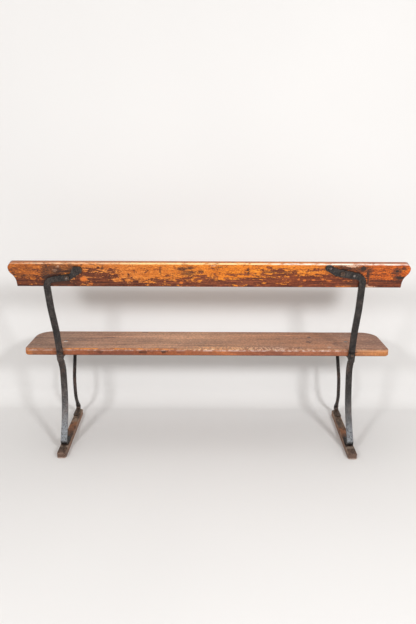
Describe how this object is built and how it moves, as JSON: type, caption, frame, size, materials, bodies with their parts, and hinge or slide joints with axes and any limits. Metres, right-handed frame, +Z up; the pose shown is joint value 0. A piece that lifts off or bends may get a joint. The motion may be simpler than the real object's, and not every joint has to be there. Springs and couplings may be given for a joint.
{
  "type": "bench",
  "caption": "Long low plank bench with a leaning plank back rail, both carried by forged iron side frames on wooden runners.",
  "frame": {"origin": "middle of the bench's bounding box at floor level, under the seat", "axes": "+X along the bench to the right as seen from its back, +Y towards the side a sitter faces, +Z up"},
  "size_m": [1.5108, 0.412, 0.7931],
  "materials": {
    "seat_wood": "worn bare boards with old varnish at the edges",
    "rail_wood": "aged varnish, orange above and dark brown below",
    "runner_wood": "dark stained, scuffed",
    "iron": "worn black paint over forged iron",
    "fastener_iron": "dark oxidised iron"
  },
  "bodies": {
    "root": {"seat_board": "seat_wood", "back_rail": "rail_wood", "runner_left": "runner_wood", "runner_right": "runner_wood", "back_bar_left": "iron", "back_bar_right": "iron", "rear_leg_left": "iron", "rear_leg_right": "iron", "bearer_left": "iron", "bearer_right": "iron", "front_leg_left": "iron", "front_leg_right": "iron", "rail_bolt_left": "fastener_iron", "rail_bolt_right": "fastener_iron", "rail_nut_left": "fastener_iron", "rail_nut_right": "fastener_iron", "rail_screws_left": "fastener_iron", "rail_screws_right": "fastener_iron", "lap_rivet_left": "fastener_iron", "lap_rivet_right": "fastener_iron", "seat_bolt_left": "fastener_iron", "seat_bolt_right": "fastener_iron", "seat_nut_left": "fastener_iron", "seat_nut_right": "fastener_iron", "palm_screws_left": "fastener_iron", "palm_screws_right": "fastener_iron", "rear_foot_screws_left": "fastener_iron", "rear_foot_screws_right": "fastener_iron", "front_foot_screws_left": "fastener_iron", "front_foot_screws_right": "fastener_iron"}
  },
  "joints": []
}
